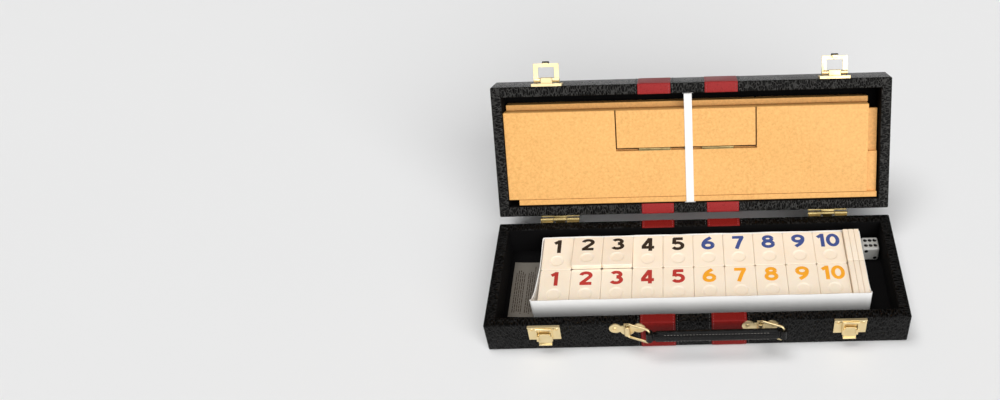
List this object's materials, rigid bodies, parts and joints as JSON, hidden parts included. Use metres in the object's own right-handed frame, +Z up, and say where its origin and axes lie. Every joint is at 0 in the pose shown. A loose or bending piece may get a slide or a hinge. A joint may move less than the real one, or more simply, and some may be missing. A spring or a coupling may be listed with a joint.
{
  "type": "rummy tile case",
  "caption": "Slim hinged case with latches and a carrying handle, holding wooden tile racks under a strap in its lid and a tray of numbered game tiles, a die and a leaflet below.",
  "frame": {"origin": "centre of the lower half's underside", "axes": "+X along the case to the right, +Y to the hinged rear, +Z up"},
  "size_m": [0.35, 0.2185, 0.1554],
  "materials": {
    "wood_frame": "bare",
    "leatherette_black": "pebbled",
    "leatherette_red": "pebbled",
    "lining_black": "napped",
    "brass_hardware": "polished",
    "leather_grip": "padded, stitched",
    "rack_wood": "clear lacquer",
    "tile_ivory": "satin",
    "tray_white": "thin formed sheet",
    "strap_white": "elastic weave",
    "die_white": "polished",
    "leaflet_paper": "folded"
  },
  "bodies": {
    "base": {"base_frame": "wood_frame", "base_panel": "wood_frame", "base_lining": "lining_black", "base_cover": "leatherette_black", "base_bottom_cover": "leatherette_black", "base_stripes": "leatherette_red", "hinge_base_left": "brass_hardware", "hinge_base_right": "brass_hardware", "hinge_pins": "brass_hardware", "base_screws": "brass_hardware", "catch_plate_left": "brass_hardware", "catch_plate_right": "brass_hardware", "bracket_left": "brass_hardware", "bracket_right": "brass_hardware", "leaflet": "leaflet_paper"},
    "lid": {"lid_frame": "wood_frame", "lid_panel": "wood_frame", "lid_lining": "lining_black", "lid_cover": "leatherette_black", "lid_top_cover": "leatherette_black", "lid_stripes": "leatherette_red", "hinge_lid_left": "brass_hardware", "hinge_lid_right": "brass_hardware", "lid_screws": "brass_hardware", "hasp_plate_left": "brass_hardware", "hasp_plate_right": "brass_hardware", "hasp_pins": "brass_hardware", "strap_anchors": "strap_white"},
    "hasp_left": {"hasp_left": "brass_hardware"},
    "hasp_right": {"hasp_right": "brass_hardware"},
    "catch_tab_left": {"catch_tab_left": "brass_hardware"},
    "catch_tab_right": {"catch_tab_right": "brass_hardware"},
    "ring_left": {"ring_left": "brass_hardware"},
    "ring_right": {"ring_right": "brass_hardware"},
    "handle": {"handle_core": "leather_grip", "handle_grip": "leather_grip"},
    "tray": {"tile_tray": "tray_white", "tiles_lower": "tile_ivory", "tiles_end": "tile_ivory"},
    "run_black": {"tiles_black": "tile_ivory"},
    "run_blue": {"tiles_blue": "tile_ivory"},
    "run_red": {"tiles_red": "tile_ivory"},
    "run_orange": {"tiles_orange": "tile_ivory"},
    "die": {"die": "die_white"},
    "rack_a": {"rack_a_frame": "rack_wood", "rack_a_hinges": "brass_hardware"},
    "rack_a_leg": {"rack_a_leg": "rack_wood"},
    "rack_b": {"rack_b_frame": "rack_wood", "rack_b_hinges": "brass_hardware"},
    "rack_b_leg": {"rack_b_leg": "rack_wood"},
    "rack_c": {"rack_c_frame": "rack_wood", "rack_c_hinges": "brass_hardware"},
    "rack_c_leg": {"rack_c_leg": "rack_wood"},
    "rack_d": {"rack_d_frame": "rack_wood", "rack_d_hinges": "brass_hardware"},
    "rack_d_leg": {"rack_d_leg": "rack_wood"},
    "strap": {"strap": "strap_white"}
  },
  "joints": [
    {"name": "lid_hinge", "type": "hinge", "parent": "base", "child": "lid", "pos_m": [0, 0.0622, 0.032], "axis": [-1, 0, 0], "range_deg": [-118, 0]},
    {"name": "hasp_left_hinge", "type": "hinge", "parent": "lid", "child": "hasp_left", "pos_m": [-0.1255, 0.12582, 0.14099], "axis": [-1, 0, 0], "range_deg": [-95, 80]},
    {"name": "hasp_right_hinge", "type": "hinge", "parent": "lid", "child": "hasp_right", "pos_m": [0.1255, 0.12582, 0.14099], "axis": [-1, 0, 0], "range_deg": [-95, 80]},
    {"name": "catch_tab_left_slide", "type": "slide", "parent": "base", "child": "catch_tab_left", "axis": [0, 0, -1], "range_m": [0, 0.0025], "stiffness_N_per_m": 200, "springref_m": -0.002},
    {"name": "catch_tab_right_slide", "type": "slide", "parent": "base", "child": "catch_tab_right", "axis": [0, 0, -1], "range_m": [0, 0.0025], "stiffness_N_per_m": 200, "springref_m": -0.002},
    {"name": "ring_left_pivot", "type": "hinge", "parent": "base", "child": "ring_left", "pos_m": [-0.057, -0.0619, 0.0262], "axis": [0, 0, 1], "range_deg": [-138, 0]},
    {"name": "ring_right_pivot", "type": "hinge", "parent": "base", "child": "ring_right", "pos_m": [0.0518, -0.0619, 0.0262], "axis": [0, 0, 1], "range_deg": [-138, 0]},
    {"name": "handle_pivot", "type": "hinge", "parent": "ring_left", "child": "handle", "pos_m": [-0.0387, -0.06892, 0.0262], "axis": [0, 0, 1], "range_deg": [0, 138]},
    {"name": "tray_lift", "type": "slide", "parent": "base", "child": "tray", "axis": [0, 0, 1], "range_m": [0, 0.025]},
    {"name": "black_run_lift", "type": "slide", "parent": "tray", "child": "run_black", "axis": [0, 0, 1], "range_m": [0, 0.01]},
    {"name": "blue_run_lift", "type": "slide", "parent": "tray", "child": "run_blue", "axis": [0, 0, 1], "range_m": [0, 0.01]},
    {"name": "red_run_lift", "type": "slide", "parent": "tray", "child": "run_red", "axis": [0, 0, 1], "range_m": [0, 0.01]},
    {"name": "orange_run_lift", "type": "slide", "parent": "tray", "child": "run_orange", "axis": [0, 0, 1], "range_m": [0, 0.01]},
    {"name": "die_lift", "type": "slide", "parent": "base", "child": "die", "axis": [0, 0, 1], "range_m": [0, 0.03]},
    {"name": "rack_d_lift", "type": "slide", "parent": "lid", "child": "rack_d", "axis": [0, -0.7314, 0.682], "range_m": [0, 0.012]},
    {"name": "rack_c_lift", "type": "slide", "parent": "rack_d", "child": "rack_c", "axis": [0, -0.8829, 0.4695], "range_m": [0, 0.012]},
    {"name": "rack_b_lift", "type": "slide", "parent": "rack_c", "child": "rack_b", "axis": [0, -0.7314, 0.682], "range_m": [0, 0.06]},
    {"name": "rack_a_lift", "type": "slide", "parent": "rack_b", "child": "rack_a", "axis": [0, -0.7314, 0.682], "range_m": [0, 0.032]},
    {"name": "rack_a_leg_hinge", "type": "hinge", "parent": "rack_a", "child": "rack_a_leg", "pos_m": [0, 0.09512, 0.08517], "axis": [1, 0, 0], "range_deg": [0, 55]},
    {"name": "rack_b_leg_hinge", "type": "hinge", "parent": "rack_b", "child": "rack_b_leg", "pos_m": [0, 0.09711, 0.06837], "axis": [1, 0, 0], "range_deg": [0, 45.5]},
    {"name": "rack_c_leg_hinge", "type": "hinge", "parent": "rack_c", "child": "rack_c_leg", "pos_m": [0, 0.10149, 0.0717], "axis": [-1, 0, 0], "range_deg": [0, 45.5]},
    {"name": "rack_d_leg_hinge", "type": "hinge", "parent": "rack_d", "child": "rack_d_leg", "pos_m": [0, 0.11653, 0.07945], "axis": [-1, 0, 0], "range_deg": [0, 18]},
    {"name": "strap_stretch", "type": "slide", "parent": "rack_a", "child": "strap", "axis": [0, -0.8829, 0.4695], "range_m": [0, 0.036]}
  ],
  "couplings": [
    {"joint": "ring_right_pivot", "follows": "ring_left_pivot", "ratio": 1},
    {"joint": "handle_pivot", "follows": "ring_left_pivot", "ratio": -1},
    {"joint": "rack_b_leg_hinge", "follows": "rack_b_lift", "rad_per_m": 13.09},
    {"joint": "rack_c_leg_hinge", "follows": "rack_b_lift", "rad_per_m": 13.09},
    {"joint": "rack_d_leg_hinge", "follows": "rack_d_lift", "rad_per_m": 25.667},
    {"joint": "strap_stretch", "follows": "rack_a_leg_hinge", "m_per_rad": 0.0372}
  ]
}
